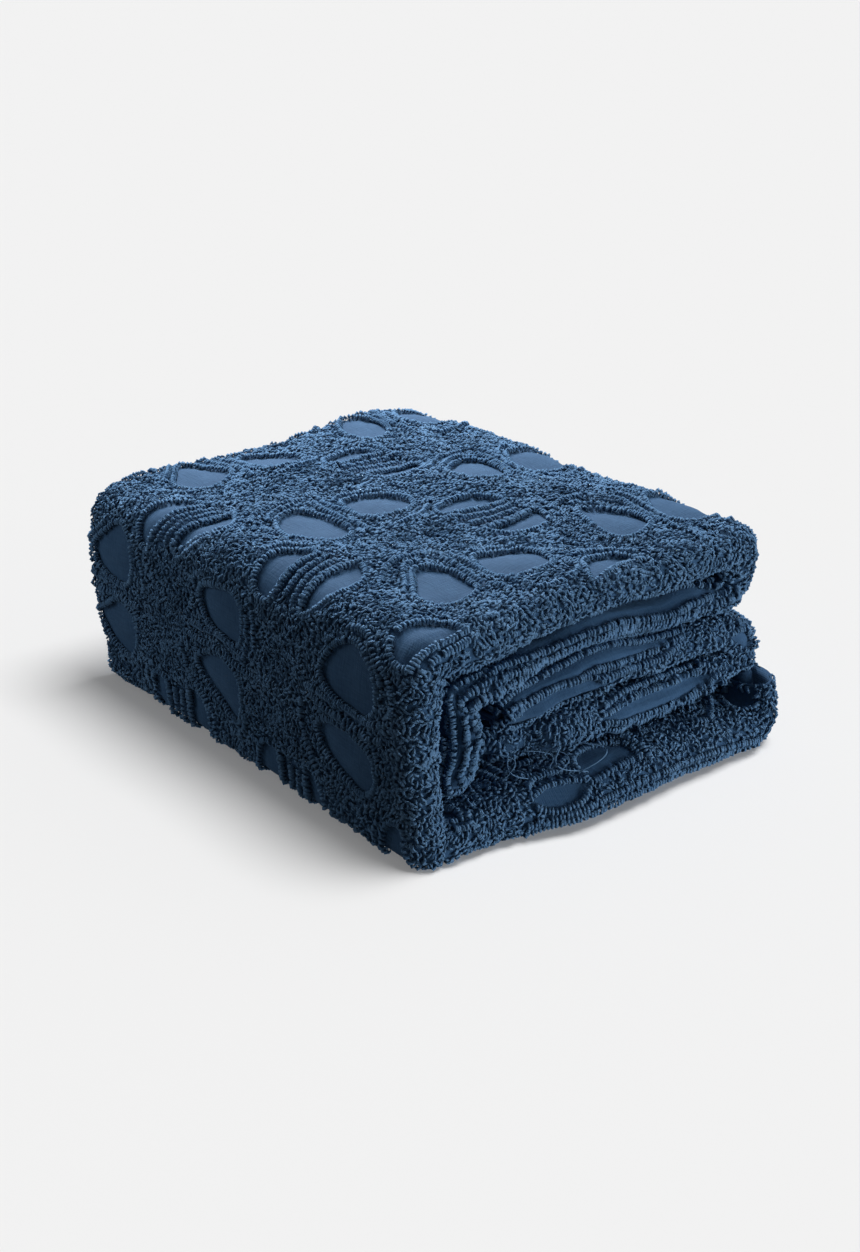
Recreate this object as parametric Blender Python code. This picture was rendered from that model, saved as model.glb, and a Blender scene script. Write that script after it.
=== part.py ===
"""A tufted cotton bedspread, folded away.

One sheet of cloth is folded across its depth into a packet of four plies, and the packet is then wound back
and forth: from an end that curls up at the right, under the bundle, up its left side, over the top, round the
right side and inside again, to and fro. The front end shows the rounded noses of the packet, the back end its
small folds and hems.
X runs along the front end, Y from front to back, and Z up. Metres, with the origin under the middle.
"""

from collections import namedtuple

import bpy
import numpy as np

MM = 0.001

# Driving sizes
WIDTH = 0.366
DEPTH = 0.460  # front to back
HEIGHT = 0.191
PLY = 0.0054  # the cloth with its loop pile
HEM = 0.0035  # the same at its hems, where there is no pile
HEM_WIDTH = 0.020

# The packet
OUTERMOST = 1.0  # layers run from -1, the inside ply, to 1, the outside ply
MIDDLE_LAYER = 0.36
NOSE_DEPTH = 0.50  # a front nose's depth, as a share of the packet's thickness
INNER_NOSE_DEPTH = 0.16
BACK_FOLD_DEPTH = 0.16
INNER_NOSE_SET_IN = 0.015
HEM_SET_IN = (0.004, 0.009)  # of the inside ply and of the ply beside it, from the back folds
OFF_THE_NOSE = -1.0  # marks the points that aren't on the outer nose

# The mesh
NOSE_STEPS = 10
SMALL_FOLD_STEPS = 4
PLY_STEPS = 4
MOST_CUT = 0.42  # of the way to the next corner, so that two bends never meet
BEND_SPAN = 0.5  # of a row of the table, which a bend's stations take up
SQUARE_TURN = 0.70  # the cosine of half a right turn, the sharpest that a packet's thickness is read from

# How the packet is wound, seen from the front end, in millimetres from the lower left edge. Each row is a bend:
# the outside and inside faces' corners, how far from them the two faces begin to turn, the segments in the
# bend, and how far the front nose and the back folds stand in there. Two rows make a half turn.
Bend = namedtuple("Bend", "place out_x out_z in_x in_z out_cut in_cut steps front back")
BENDS = (
    Bend("curled end", 384, 57, 352, 48, 0, 0, 0, 4, 5),
    Bend("lower right edge", 374, 0, 346, 36, 30, 5, 5, -10, 3),
    Bend("under, middle", 168, 0, 168, 46, 40, 40, 2, -15, 1),
    Bend("under, left", 84, 0, 84, 42, 0, 0, 0, -5, 0),
    Bend("lower left edge", -5, 0, 29, 34, 14, 5, 4, 2, -4),
    Bend("left side", -10, 98, 23, 96, 0, 0, 0, 4, -3),
    Bend("upper left edge", -5, 191, 32, 151, 30, 6, 5, 3, 2),
    Bend("top, left", 84, 191, 84, 148, 20, 20, 2, 0, 4),
    Bend("top, middle", 168, 193, 168, 161, 40, 40, 2, 1, 2),
    Bend("top, right", 280, 199, 280, 163, 0, 0, 0, -1, 2),
    Bend("upper right fold, top", 362, 199, 321, 160, 26, 3, 5, 2, 2),
    Bend("upper right fold, foot", 359, 116, 319, 152, 34, 3, 5, 6, 6),
    Bend("second layer, right", 280, 125, 280, 156, 0, 0, 0, 8, 4),
    Bend("second layer, middle", 168, 129, 168, 158, 40, 40, 2, 9, 7),
    Bend("second layer, left", 88, 117, 84, 145, 10, 20, 2, 8, 5),
    Bend("inside left, top", 65, 113, 35, 144, 4, 15, 4, 9, 6),
    Bend("inside left", 67, 96, 36, 96, 0, 0, 0, 5, 8),
    Bend("inside left, foot", 65, 73, 35, 40, 4, 15, 4, 14, 7),
    Bend("third layer, left", 84, 75, 84, 44, 0, 0, 0, 32, 5),
    Bend("third layer, by the hollow", 120, 78, 120, 47, 0, 0, 0, 14, 4),
    Bend("third layer, middle", 168, 84, 168, 48, 20, 20, 2, 7, 3),
    Bend("third layer, right", 280, 79, 280, 46, 0, 0, 0, 9, 6),
    Bend("lower right fold, foot", 327, 80, 386, 60, 4, 30, 5, 5, 4),
    Bend("lower right fold, top", 327, 88, 364, 112, 4, 30, 5, 6, 3),
    Bend("fourth layer, right", 280, 85, 280, 121, 0, 0, 0, 10, 6),
    Bend("fourth layer, middle", 168, 88, 168, 125, 40, 40, 2, 7, 4),
    Bend("fourth layer, left end", 92, 79, 92, 113, 0, 0, 0, 12, 9),
)

# The main creases of the front noses: from one bend to another, their place round the nose from the inside
# face at 0 to the outside face at 1, their width there, and how deep they are in millimetres.
Crease = namedtuple("Crease", "place first last around width deep")
CREASES = (
    Crease("under the top's nose", "upper left edge", "upper right fold, top", 0.22, 0.10, 3.0),
    Crease("along the second layer", "upper right fold, foot", "second layer, left", 0.62, 0.09, 3.5),
    Crease("in the gathers", "second layer, left", "third layer, left", 0.50, 0.12, 4.0),
    Crease("in the third layer", "third layer, middle", "lower right fold, foot", 0.66, 0.10, 4.0),
    Crease("along the fourth layer", "lower right fold, top", "fourth layer, left end", 0.40, 0.10, 4.0),
    Crease("along the bottom layer", "curled end", "under, left", 0.30, 0.09, 3.0),
)
CREASE_END = 4  # the higher, the more suddenly a crease ends

# How the bundle is out of true, in metres. Nothing moves at the floor.
ON_THE_FLOOR = 0.0001  # a ply that is no further than this above its place on the floor lies on it
OFF_THE_FLOOR = 0.0001  # how far the middle of the underside stands off the floor, so that its corners carry it
FOOT = (0.17, 0.22)  # from the middle to those corners
FOOT_SHAPE = 4  # the higher, the nearer to the corners the underside comes down
CROWN = 0.0050
CROWN_LENGTH = 0.9  # of a half wave, from front to back
CROWN_SINK = 0.6  # how far the edges lie under the crown's foot, as a share of it
LEAN_OUT = 0.0130  # the far left side's upper edge
LEAN_BACK = 0.0050  # the near left corner's upper end
WAVES = (  # size, waves along X and Y for each metre, and phase
    (0.0016, 5.1, 3.3, 0.4),
    (0.0013, -3.6, 6.2, 2.1),
    (0.0010, 9.4, 7.1, 4.4),
)

CLOTH_COLOUR = (0.022, 0.052, 0.118, 1.0)
CLOTH_ROUGHNESS = 0.95


def cloth_material():
    material = bpy.data.materials.new("tufted_cotton")
    material.use_nodes = True
    shader = material.node_tree.nodes["Principled BSDF"]
    shader.inputs["Base Color"].default_value = CLOTH_COLOUR
    shader.inputs["Roughness"].default_value = CLOTH_ROUGHNESS
    shader.inputs["Metallic"].default_value = 0.0
    return material


def column(name):
    """One column of the bends' table, as an array."""
    return np.array([getattr(bend, name) for bend in BENDS], float)


def corners(face):
    """The corners of the packet's "out" or "in" face, in metres."""
    return np.stack([column(face + "_x"), column(face + "_z")], axis=1) * MM


def unit(vectors):
    return vectors / np.linalg.norm(vectors, axis=-1, keepdims=True)


End = namedtuple("End", "set_in depth")  # of a ply, in metres and in shares of the packet's thickness


def packet_section():
    """The line of the cloth across the packet, hem to hem: inside ply, nose, outside ply, small back fold,
    the ply beside it, inner nose, last ply. Gives for each point its layer, its share of the way to the back,
    its ply's front end and back end, and its place round the outer nose."""
    points = []

    def fold(first, last, steps, end, at_front, is_nose=False):
        angle = np.linspace(0.0, np.pi, steps + 1)
        layer = (first + last) / 2 + (first - last) / 2 * np.cos(angle)
        share = end.depth * (1.0 - np.sin(angle))
        for i in range(steps + 1):
            here, away = End(end.set_in, share[i]), End(0.0, 0.0)
            front, back = (here, away) if at_front else (away, here)
            around = i / steps if is_nose else OFF_THE_NOSE
            points.append((layer[i], 0.0 if at_front else 1.0, *front, *back, around))

    def ply(layer, front, back, to_back):
        for i in range(1, PLY_STEPS):
            share = i / PLY_STEPS if to_back else 1.0 - i / PLY_STEPS
            points.append((layer, share, *front, *back, OFF_THE_NOSE))

    outer_nose = End(0.0, NOSE_DEPTH)
    inner_nose = End(INNER_NOSE_SET_IN, INNER_NOSE_DEPTH)
    back_fold = End(0.0, BACK_FOLD_DEPTH)
    outer_hem, inner_hem = (End(set_in, 0.0) for set_in in HEM_SET_IN)
    points.append((-OUTERMOST, 1.0, *outer_nose, *outer_hem, OFF_THE_NOSE))
    ply(-OUTERMOST, outer_nose, outer_hem, to_back=False)
    fold(-OUTERMOST, OUTERMOST, NOSE_STEPS, outer_nose, at_front=True, is_nose=True)
    ply(OUTERMOST, outer_nose, back_fold, to_back=True)
    fold(OUTERMOST, MIDDLE_LAYER, SMALL_FOLD_STEPS, back_fold, at_front=False)
    ply(MIDDLE_LAYER, inner_nose, back_fold, to_back=False)
    fold(MIDDLE_LAYER, -MIDDLE_LAYER, SMALL_FOLD_STEPS, inner_nose, at_front=True)
    ply(-MIDDLE_LAYER, inner_nose, inner_hem, to_back=True)
    points.append((-MIDDLE_LAYER, 1.0, *inner_nose, *inner_hem, OFF_THE_NOSE))
    return np.array(points).T


def packet_thickness(outside, inside):
    """Thickness at each bend, square to the packet, from the distance between the two faces' corners."""
    middle = (outside + inside) / 2
    ways = unit(np.diff(middle, axis=0))
    before, after = np.vstack([ways[:1], ways]), np.vstack([ways, ways[-1:]])
    half_turn_cosine = np.sqrt((1.0 + np.sum(before * after, axis=1)) / 2)
    return np.linalg.norm(outside - inside, axis=1) * np.clip(half_turn_cosine, SQUARE_TURN, 1.0)


def wound_path(layer, outside, inside, thickness):
    """Where every point of the section lies in X and Z at every station along the packet, with the bend that
    each station belongs to. A ply's corners lie between the faces' corners. Each bend is a conic arc, which is
    a circle's where it is cut by the same length on both sides."""
    reach = 1.0 - PLY / thickness[:, None]
    share = (1.0 + layer[None, :] * reach) / 2
    corner = inside[:, None, :] + share[..., None] * (outside - inside)[:, None, :]
    inner_cut, outer_cut = column("in_cut")[:, None] * MM, column("out_cut")[:, None] * MM
    cut = inner_cut + share * (outer_cut - inner_cut)
    stations, places = [], []
    for j, bend in enumerate(BENDS):
        if not bend.steps:
            stations.append(corner[j])
            places.append(float(j))
            continue
        before, after = corner[j] - corner[j - 1], corner[j + 1] - corner[j]
        room = np.minimum(np.linalg.norm(before, axis=-1), np.linalg.norm(after, axis=-1))
        length = np.minimum(cut[j], MOST_CUT * room)[:, None]
        start, end = corner[j] - unit(before) * length, corner[j] + unit(after) * length
        cosine = np.sum(unit(before) * unit(after), axis=-1, keepdims=True)
        pull = np.sqrt((1.0 + cosine) / 2)
        for k in range(bend.steps + 1):
            t = k / bend.steps
            weights = (1.0 - t) ** 2, 2.0 * pull * t * (1.0 - t), t**2
            stations.append((weights[0] * start + weights[1] * corner[j] + weights[2] * end) / sum(weights))
            places.append(j + BEND_SPAN * (t - 0.5))
    return np.array(stations), np.array(places)


def eased(values, places):
    """A column's values at each station, easing from one bend to the next."""
    whole = np.clip(np.floor(places).astype(int), 0, len(values) - 2)
    part = places - whole
    part = part * part * (3.0 - 2.0 * part)
    return values[whole] * (1.0 - part) + values[whole + 1] * part


def crease_depth(places, around):
    """How far the creases press the outer nose in, at each station and section point."""
    names = [bend.place for bend in BENDS]
    total = np.zeros((len(places), len(around)))
    for crease in CREASES:
        first, last = names.index(crease.first), names.index(crease.last)
        middle, half = (first + last) / 2, (last - first) / 2
        along = np.clip(1.0 - np.abs((places - middle) / half) ** CREASE_END, 0.0, 1.0)
        across = np.exp(-(((around - crease.around) / crease.width) ** 2)) * (around >= 0.0)
        total += crease.deep * MM * along[:, None] * across[None, :]
    return total


def out_of_true(points):
    """Crown, lean and waves, all growing with height from nothing at the floor, where the lowest ply lies flat
    but for a slight hollow under its middle."""
    x, y, z = points[..., 0], points[..., 1], points[..., 2]
    rise = np.maximum(z - PLY / 2, 0.0) / HEIGHT
    to_back = y / DEPTH + 0.5
    across = np.clip(x / WIDTH, -0.5, 0.5)
    middle = np.cos(np.pi * across) * np.cos(np.pi * CROWN_LENGTH * y / DEPTH)
    wave = sum(
        size * np.sin(2 * np.pi * (along_x * x + along_y * y) + phase)
        for size, along_x, along_y, phase in WAVES
    )
    left = 0.5 - across
    moved = points.copy()
    moved[..., 0] = x - LEAN_OUT * rise * left * to_back
    moved[..., 1] = y + LEAN_BACK * rise * left * (1.0 - to_back)
    corner = np.clip(np.abs(x / FOOT[0]) * np.abs(y / FOOT[1]), 0.0, 1.0) ** FOOT_SHAPE
    on_the_floor = PLY / 2 + OFF_THE_FLOOR * (1.0 - corner)
    off_the_floor = z + rise * (CROWN * (middle - CROWN_SINK) + wave)
    moved[..., 2] = np.where(z < PLY / 2 + ON_THE_FLOOR, on_the_floor, off_the_floor)
    return moved


def folded_sheet():
    """The middle of the cloth as a grid: stations along the packet by points across it."""
    outside, inside = corners("out"), corners("in")
    thickness = packet_thickness(outside, inside)
    layer, to_back, front_in, front_share, back_in, back_share, around = packet_section()
    path, places = wound_path(layer, outside, inside, thickness)
    thick = eased(thickness, places)[:, None]
    front = -DEPTH / 2 + PLY / 2 + eased(column("front") * MM, places)[:, None]
    back = DEPTH / 2 - PLY / 2 - eased(column("back") * MM, places)[:, None]
    near = front + front_in + front_share * thick + crease_depth(places, around)
    far = back - back_in - back_share * thick
    y = near * (1.0 - to_back) + far * to_back
    grid = np.stack([path[..., 0], y, path[..., 1]], axis=-1)
    grid[..., 0] -= WIDTH / 2
    settled = out_of_true(grid)
    flat = settled[..., :2].reshape(-1, 2)
    settled[..., :2] -= (flat.min(axis=0) + flat.max(axis=0)) / 2
    return settled


def hem_share(grid):
    """0 along the cloth's four hems, rising to 1 where the pile is full."""
    share = np.ones(grid.shape[:2])
    for axis in (0, 1):
        lengths = np.linalg.norm(np.diff(grid, axis=axis), axis=-1)
        lengths = np.moveaxis(lengths, axis, 0)
        start = np.vstack([np.zeros((1, lengths.shape[1])), np.cumsum(lengths, axis=0)])
        nearest = np.minimum(start, start[-1] - start)
        share = np.minimum(share, np.moveaxis(np.clip(nearest / HEM_WIDTH, 0.0, 1.0), 0, axis))
    return share


def make_bedspread():
    grid = folded_sheet()
    rows, across = grid.shape[:2]
    index = np.arange(rows * across).reshape(rows, across)
    quads = np.stack([index[:-1, :-1], index[:-1, 1:], index[1:, 1:], index[1:, :-1]], axis=-1)
    mesh = bpy.data.meshes.new("bedspread")
    mesh.from_pydata(grid.reshape(-1, 3).tolist(), [], quads.reshape(-1, 4).tolist())
    mesh.shade_smooth()
    mesh.materials.append(cloth_material())
    bedspread = bpy.data.objects.new("bedspread", mesh)
    bpy.context.scene.collection.objects.link(bedspread)
    pile = bedspread.vertex_groups.new(name="pile")
    share = hem_share(grid).reshape(-1)
    for i in range(rows * across):
        pile.add([i], float(share[i]), "REPLACE")
    solidify = bedspread.modifiers.new("thickness", "SOLIDIFY")
    solidify.thickness = PLY
    solidify.offset = 0.0
    solidify.use_even_offset = True
    solidify.vertex_group = pile.name
    solidify.thickness_vertex_group = HEM / PLY


for old in list(bpy.data.objects):
    bpy.data.objects.remove(old, do_unlink=True)
make_bedspread()
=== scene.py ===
import math

import bpy
import numpy as np
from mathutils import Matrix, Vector


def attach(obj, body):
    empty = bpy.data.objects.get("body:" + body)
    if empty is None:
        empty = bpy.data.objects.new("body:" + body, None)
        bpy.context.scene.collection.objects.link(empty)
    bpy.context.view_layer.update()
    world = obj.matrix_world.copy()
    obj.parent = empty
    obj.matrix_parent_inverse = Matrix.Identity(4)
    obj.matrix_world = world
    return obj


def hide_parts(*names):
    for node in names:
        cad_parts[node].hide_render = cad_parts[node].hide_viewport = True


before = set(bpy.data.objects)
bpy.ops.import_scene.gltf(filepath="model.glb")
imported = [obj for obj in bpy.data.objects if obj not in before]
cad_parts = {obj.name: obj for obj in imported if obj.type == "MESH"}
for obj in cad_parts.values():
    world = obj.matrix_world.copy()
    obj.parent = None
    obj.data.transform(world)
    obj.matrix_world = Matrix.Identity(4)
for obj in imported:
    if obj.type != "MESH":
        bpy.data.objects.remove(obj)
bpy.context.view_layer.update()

# The cloth: one sheet of plain-woven navy cotton, thin under its pile. It is folded across its depth into a packet
# of four plies, and the packet is wound to and fro: from an end that curls up at the right, under the bundle, up
# the left side, over the top, round the right side and inside again. Nothing holds it but its own weight.
MM = 0.001
WIDTH, DEPTH, HEIGHT = 0.366, 0.460, 0.191
PLY = 0.0054  # the cloth with its pile, as it is packed
CLOTH = 0.0015  # the woven cloth alone
MIDDLE = np.array([0.000466, -0.005345])  # of the wound cloth's footprint, before it is centred

# One row for each fold along the packet, in millimetres from the lower left edge: the corners of its outside
# and inside faces, how far before its corner each face starts to turn, and how far the front and back stand in.
FOLDS = np.array(
    [
        (384, 57, 352, 48, 0, 0, 4, 5),
        (374, 0, 346, 36, 30, 5, -10, 3),
        (168, 0, 168, 46, 40, 40, -15, 1),
        (84, 0, 84, 42, 18, 18, -5, 0),
        (-5, 0, 29, 34, 14, 5, 2, -4),
        (-10, 98, 23, 96, 22, 20, 4, -3),
        (-5, 191, 32, 151, 30, 6, 3, 2),
        (84, 191, 84, 148, 20, 20, 0, 4),
        (168, 193, 168, 161, 40, 40, 1, 2),
        (280, 199, 280, 163, 18, 10, -1, 2),
        (362, 199, 321, 160, 26, 3, 2, 2),
        (359, 116, 319, 152, 34, 3, 6, 6),
        (280, 125, 280, 156, 10, 18, 8, 4),
        (168, 129, 168, 158, 40, 40, 9, 7),
        (88, 117, 84, 145, 10, 20, 8, 5),
        (65, 113, 35, 144, 4, 15, 9, 6),
        (67, 96, 36, 96, 8, 12, 5, 8),
        (65, 73, 35, 40, 4, 15, 14, 7),
        (84, 75, 84, 44, 6, 12, 32, 5),
        (120, 78, 120, 47, 12, 14, 14, 4),
        (168, 84, 168, 48, 20, 20, 7, 3),
        (280, 79, 280, 46, 16, 18, 9, 6),
        (327, 80, 386, 60, 4, 30, 5, 4),
        (327, 88, 364, 112, 4, 30, 6, 3),
        (280, 85, 280, 121, 12, 18, 10, 6),
        (168, 88, 168, 125, 40, 40, 7, 4),
        (92, 79, 92, 113, 0, 0, 12, 9),
    ],
    float,
)
OUTSIDE, INSIDE = FOLDS[:, 0:2] * MM, FOLDS[:, 2:4] * MM
OUTER_CUT, INNER_CUT, SET_IN_FRONT, SET_IN_BACK = FOLDS[:, 4:].T * MM
LAST = len(FOLDS) - 1
LOWER_LEFT, UPPER_LEFT, TOP_RIGHT, SECOND, SECOND_LEFT, THIRD, RIGHT_FOLD = 4, 6, 10, 12, 14, 18, 22

# The line across the packet, hem to hem, in seven runs. Each run gives its first and last layer (-1 inside, 1
# outside), its first and last share of the way to the back, what stands in at its front and back in metres and in
# shares of the packet's thickness, and 1 where it is a rounded fold.
NOSE_IN, FOLD_IN = 0.5, 0.16  # what the outer nose and the smaller folds stand in, in shares of the thickness
INNER = 0.36  # the layer of the inner nose's plies
ACROSS = np.array(
    [
        (-1, -1, 1, 0, 0, NOSE_IN, 0.004, 0, 0),
        (-1, 1, 0, 0, 0, NOSE_IN, 0, 0, 1),
        (1, 1, 0, 1, 0, NOSE_IN, 0, FOLD_IN, 0),
        (1, INNER, 1, 1, 0, NOSE_IN, 0, FOLD_IN, 1),
        (INNER, INNER, 1, 0, 0.015, FOLD_IN, 0, FOLD_IN, 0),
        (INNER, -INNER, 0, 0, 0.015, FOLD_IN, 0, FOLD_IN, 1),
        (-INNER, -INNER, 0, 1, 0.015, FOLD_IN, 0.009, 0, 0),
    ]
)
NOSE = 1  # the run that is the outer rounded front
SQUARE = 0.70  # the cosine of half a square turn, nearly
ROOM = 0.42  # the most of the way to the next corner that a turn takes
PRESSED_END, END_LONG = 0.72, 0.5  # how much flatter the last end lies, and over how much of the last place


def legs(rows):
    """The vectors from each row of points to the next."""
    return rows[1:] - rows[:-1]


def unit(vectors):
    return vectors / np.maximum(np.linalg.norm(vectors, axis=-1, keepdims=True), 1e-12)


def packet_thickness():
    """The distance between the two faces' corners, times the cosine of half the turn there, held within a square
    turn's."""
    ways = unit(legs((OUTSIDE + INSIDE) / 2))
    before, after = np.vstack([ways[:1], ways]), np.vstack([ways, ways[-1:]])
    cosine = np.sqrt((1 + np.sum(before * after, axis=1)) / 2)
    return np.linalg.norm(OUTSIDE - INSIDE, axis=1) * np.clip(cosine, SQUARE, 1.0)


THICKNESS = packet_thickness()


def eased(values, place):
    """A column of the folds' table at any place, easing from one fold's value to the next by 3t^2 - 2t^3."""
    whole = np.clip(np.floor(place).astype(int), 0, LAST - 1)
    part = place - whole
    part = part * part * (3 - 2 * part)
    return values[whole] * (1 - part) + values[whole + 1] * part


def turn(fold, layer):
    """Where a layer starts to turn at a fold, its corner, where the turn ends, and the middle weight of the conic
    between them: the corner lies between the faces' corners by the layer, and the turn is as long as its cut."""

    def corner(row):
        row = np.clip(row, 0, LAST)
        share = (1 + layer * (1 - PLY / THICKNESS[row])) / 2
        return INSIDE[row] + share[..., None] * (OUTSIDE[row] - INSIDE[row])

    here = corner(fold)
    before, after = here - corner(fold - 1), corner(fold + 1) - here
    before = np.where((fold == 0)[..., None], after, before)
    after = np.where((fold == LAST)[..., None], before, after)
    room = ROOM * np.minimum(np.linalg.norm(before, axis=-1), np.linalg.norm(after, axis=-1))
    share = (1 + layer * (1 - PLY / THICKNESS[fold])) / 2
    cut = np.minimum(INNER_CUT[fold] + share * (OUTER_CUT[fold] - INNER_CUT[fold]), room)[..., None]
    before, after = unit(before), unit(after)
    pull = np.sqrt((1 + np.sum(before * after, axis=-1, keepdims=True)) / 2)
    return here - before * cut, here, here + after * cut, pull


def smooth_step(value):
    value = np.clip(value, 0, 1)
    return value * value * (3 - 2 * value)


def wound(place, layer):
    """A layer's X and Z at any place along the packet: a conic a quarter of a place each side of each fold, with
    weights (1-t)^2, 2wt(1-t) and t^2, and a straight line from there to the next. The last end lies pressed
    flat."""
    layer = layer * (1 - PRESSED_END * smooth_step((place - LAST + END_LONG) / END_LONG))

    def conic(t, start, corner, end, pull):
        t = t[..., None]
        first, middle, last = (1 - t) ** 2, 2 * pull * t * (1 - t), t * t
        return (first * start + middle * corner + last * end) / (first + middle + last)

    low = np.clip(np.floor(place).astype(int), 0, LAST - 1)
    part = place - low
    near, far = turn(low, layer), turn(low + 1, layer)
    leaving = conic(np.clip(part * 2 + 0.5, 0, 1), *near)
    coming = conic(np.clip(part * 2 - 1.5, 0, 1), *far)
    straight = near[2] + np.clip(part * 2 - 0.5, 0, 1)[..., None] * (far[0] - near[2])
    part = part[..., None]
    return np.where(part < 0.25, leaving, np.where(part > 0.75, coming, straight))


# The creases round the front noses: first and last fold, place round the nose from the inside face at 0 to the
# outside face at 1, width there, and depth in millimetres. A minus depth is a ridge.
CREASES = (
    (UPPER_LEFT, TOP_RIGHT, 0.22, 0.10, 3.0),
    (11, SECOND_LEFT, 0.62, 0.09, 3.5),
    (SECOND_LEFT, THIRD, 0.50, 0.12, 4.0),
    (20, RIGHT_FOLD, 0.66, 0.10, 4.0),
    (23, LAST, 0.40, 0.10, 4.0),
    (0, 3, 0.30, 0.09, 3.0),
    (11.6, 13.4, 0.40, 0.07, -2.2),
    (12.2, 14.0, 0.80, 0.06, 2.4),
    (24.3, 25.8, 0.62, 0.07, -2.4),
    (23.4, 25.2, 0.82, 0.06, 2.6),
    (18.6, 20.4, 0.36, 0.08, 2.6),
    (6.6, 8.2, 0.10, 0.05, 2.0),
    (0.6, 1.8, 0.62, 0.07, 2.4),
    (1.9, 3.4, 0.78, 0.06, 2.0),
    (17.6, 19.4, 0.50, 0.45, 13.0),
)
FULLER_FOOT = 0.010  # how far the lowest layer's nose bulges under the weight
FULL_BEFORE, FULL_FADE = 3.4, 1.4  # the place where it ends, and over how many it fades
GATHERS_FROM = 11.2  # the place where the inner layers start
GATHERS = (1.0, 1.8, 0.9)  # in millimetres: pressed in all over, and by the wide and the narrow ripples
PLACE_LONG = 0.1  # about how far one place is from the next, in metres


def crease_depth(place, around):
    """How far the creases press the nose in: a bell across each one, and a flat-topped hump along it."""
    depth = np.zeros(np.shape(place))
    for first, last, middle, width, deep in CREASES:
        along = np.clip(1 - np.abs((place - (first + last) / 2) / ((last - first) / 2)) ** 4, 0, 1)
        depth += deep * MM * along * np.exp(-(((around - middle) / width) ** 2))
    return depth


def ripple(a, b, size, seed):
    """Uneven ripples from about -1 to 1: a sum of sine waves in random directions, each about size metres long."""
    waves, shortest, longest, height = 9, 0.7, 1.5, 0.7
    random = np.random.default_rng(seed)
    angle, phase = random.uniform(0, 2 * np.pi, (2, waves))
    number = 2 * np.pi / (size * random.uniform(shortest, longest, waves))
    by_a, by_b = np.multiply.outer(a, number * np.cos(angle)), np.multiply.outer(b, number * np.sin(angle))
    return np.sin(by_a + by_b + phase).sum(axis=-1) * math.sqrt(2 / waves) * height


FOOT_SAG, FOOT_HEIGHT, FOOT_EASE = 0.5, 0.028, 0.022  # share, below which height, and over how much
CROWN, CROWN_LONG, CROWN_LOW = 0.005, 0.9, 0.6  # height, length, and the share of it taken off all over
LEAN_X, LEAN_Y = 0.013, 0.005  # of the left side's top, out at the back and back at the front
# Each wave's height, its turns for each metre of X and of Y, and its start.
WAVES = ((0.0016, 5.1, 3.3, 0.4), (0.0013, -3.6, 6.2, 2.1), (0.0010, 9.4, 7.1, 4.4))


def settled(points):
    """How the bundle is out of true: a crown in the middle, a lean of the left side, and three slow waves, which
    all grow with height from nothing at the floor. The rounded foot sags, and the footprint is then centred."""
    x, y, z = np.moveaxis(points, -1, 0)
    z = PLY / 2 + (z - PLY / 2) * (1 - FOOT_SAG * smooth_step((FOOT_HEIGHT - z) / FOOT_EASE))
    rise, to_back, across = np.maximum(z - PLY / 2, 0) / HEIGHT, y / DEPTH + 0.5, np.clip(x / WIDTH, -0.5, 0.5)
    crown = np.cos(np.pi * across) * np.cos(np.pi * CROWN_LONG * y / DEPTH) - CROWN_LOW
    waves = sum(tall * np.sin(2 * np.pi * (by_x * x + by_y * y) + start) for tall, by_x, by_y, start in WAVES)
    left = 0.5 - across
    x = x - LEAN_X * rise * left * to_back - MIDDLE[0]
    y = y + LEAN_Y * rise * left * (1 - to_back) - MIDDLE[1]
    return np.stack([x, y, z + rise * (CROWN * crown + waves)], axis=-1)


def cloth_middle(place, run):
    """The middle of the cloth at a place along the packet and a run across it. The run gives the layer, which
    goes round a fold as a cosine, and the share of the way from the ply's front end to its back end; the ends
    of a rounded fold bulge by the sine. The place gives X and Z for that layer."""
    row = np.clip(np.floor(run).astype(int), 0, len(ACROSS) - 1)
    part = run - row
    first, last, start, stop, near_in, near_share, far_in, far_share, round_fold = np.moveaxis(ACROSS[row], -1, 0)
    layer = first + (last - first) * (1 - np.cos(np.pi * part)) / 2
    to_back = start + (stop - start) * part
    bulge = 1 - round_fold * np.sin(np.pi * part)
    thick = eased(THICKNESS, place)
    pressed = np.where(row == NOSE, crease_depth(place, part), 0.0)
    fuller = FULLER_FOOT * smooth_step((FULL_BEFORE - place) / FULL_FADE)
    pressed = pressed + np.where(row == NOSE, np.sin(np.pi * part), 0.0) * (gather_depth(place, part) - fuller)
    near = -DEPTH / 2 + PLY / 2 + eased(SET_IN_FRONT, place) + near_in + near_share * thick * bulge + pressed
    far = DEPTH / 2 - PLY / 2 - eased(SET_IN_BACK, place) - far_in - far_share * thick * bulge
    path = wound(place, layer)
    points = np.stack([path[..., 0] - WIDTH / 2, near * (1 - to_back) + far * to_back, path[..., 1]], axis=-1)
    return settled(points)


def gather_depth(place, around):
    """The small gathers of the inner layers' noses, a ripple along the packet that leans as it goes round."""
    inner = np.clip(place - GATHERS_FROM, 0, 1)
    wide = ripple(place * PLACE_LONG, around * 0.05, size=0.055, seed=5)
    narrow = ripple(place * PLACE_LONG, around * 0.03, size=0.022, seed=6)
    return MM * inner * (GATHERS[0] + GATHERS[1] * wide + GATHERS[2] * narrow)


# The cloth's own measure, in metres: "a" is the way along the packet, on whichever of its two faces is longer, and
# "b" the way across it from the tip of the front nose, towards the back on the outside.
FINE = np.linspace(0, LAST, 2601)
STEPS = [np.linalg.norm(legs(wound(FINE, layer + 0 * FINE)), axis=-1) for layer in (1, -1)]
ALONG = np.concatenate([[0], np.cumsum(np.maximum(*STEPS))])


def metres(place):
    return np.interp(place, FINE, ALONG)


def half_nose(place):
    """A quarter of an ellipse's way round, nearly: pi / 4 times the sum of its half axes."""
    return np.pi / 4 * (eased(THICKNESS, place) - PLY / 2)


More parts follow.
